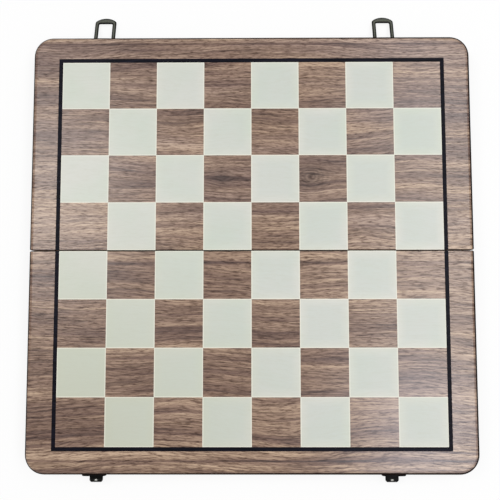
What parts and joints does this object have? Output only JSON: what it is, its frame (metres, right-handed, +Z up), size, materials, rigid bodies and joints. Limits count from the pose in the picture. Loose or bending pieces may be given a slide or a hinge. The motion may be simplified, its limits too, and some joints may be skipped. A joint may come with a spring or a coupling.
{
  "type": "games compendium box",
  "caption": "Folding wooden games box laid open as a chequered board: two shallow trays hinged at the seam, hook latches at the ends.",
  "frame": {"origin": "middle of the seam, on the fold axis, in the plane where the two trays' rims meet", "axes": "+X along the seam to the right, +Y towards the back tray, which has the bails, +Z up through the squares"},
  "size_m": [0.385, 0.4164, 0.0266],
  "materials": {
    "walnut_veneer": "satin lacquered walnut veneer",
    "cream_inlay": "satin cream, grain just showing",
    "black_inlay": "satin black, grain just showing",
    "walnut_rail": "satin lacquered dark walnut",
    "board": "bare birch plywood",
    "lining_veneer": "satin walnut veneer",
    "cream_point": "satin cream",
    "black_point": "satin black",
    "dark_bronze": "dark bronze plating, worn brighter on its edges"
  },
  "bodies": {
    "front_tray": {"front_core_board": "board", "front_walnut_veneer": "walnut_veneer", "front_light_squares": "cream_inlay", "front_border_line": "black_inlay", "front_end_rail": "walnut_rail", "front_left_rail": "walnut_rail", "front_right_rail": "walnut_rail", "front_hinge_rail": "walnut_rail", "front_lining": "lining_veneer", "front_light_points": "cream_point", "front_dark_points": "black_point", "left_hinge_front_leaf": "dark_bronze", "left_hinge_pin": "dark_bronze", "right_hinge_front_leaf": "dark_bronze", "right_hinge_pin": "dark_bronze", "front_hinge_screws": "dark_bronze", "left_catch": "dark_bronze", "right_catch": "dark_bronze", "catch_screws": "dark_bronze"},
    "back_tray": {"back_core_board": "board", "back_walnut_veneer": "walnut_veneer", "back_light_squares": "cream_inlay", "back_border_line": "black_inlay", "back_end_rail": "walnut_rail", "back_left_rail": "walnut_rail", "back_right_rail": "walnut_rail", "back_hinge_rail": "walnut_rail", "back_lining": "lining_veneer", "back_light_points": "cream_point", "back_dark_points": "black_point", "left_hinge_back_leaf": "dark_bronze", "right_hinge_back_leaf": "dark_bronze", "back_hinge_screws": "dark_bronze", "left_hasp_plate": "dark_bronze", "right_hasp_plate": "dark_bronze", "hasp_screws": "dark_bronze"},
    "left_bail": {"left_bail": "dark_bronze"},
    "right_bail": {"right_bail": "dark_bronze"}
  },
  "joints": [
    {"name": "fold", "type": "hinge", "parent": "front_tray", "child": "back_tray", "pos_m": [0, 0, 0], "axis": [-1, 0, 0], "range_deg": [0, 180]},
    {"name": "left_bail_pivot", "type": "hinge", "parent": "back_tray", "child": "left_bail", "pos_m": [-0.134, 0.1924, 0.0075], "axis": [-1, 0, 0], "range_deg": [-108, 71]},
    {"name": "right_bail_pivot", "type": "hinge", "parent": "back_tray", "child": "right_bail", "pos_m": [0.1205, 0.1924, 0.0075], "axis": [-1, 0, 0], "range_deg": [-108, 71]}
  ]
}
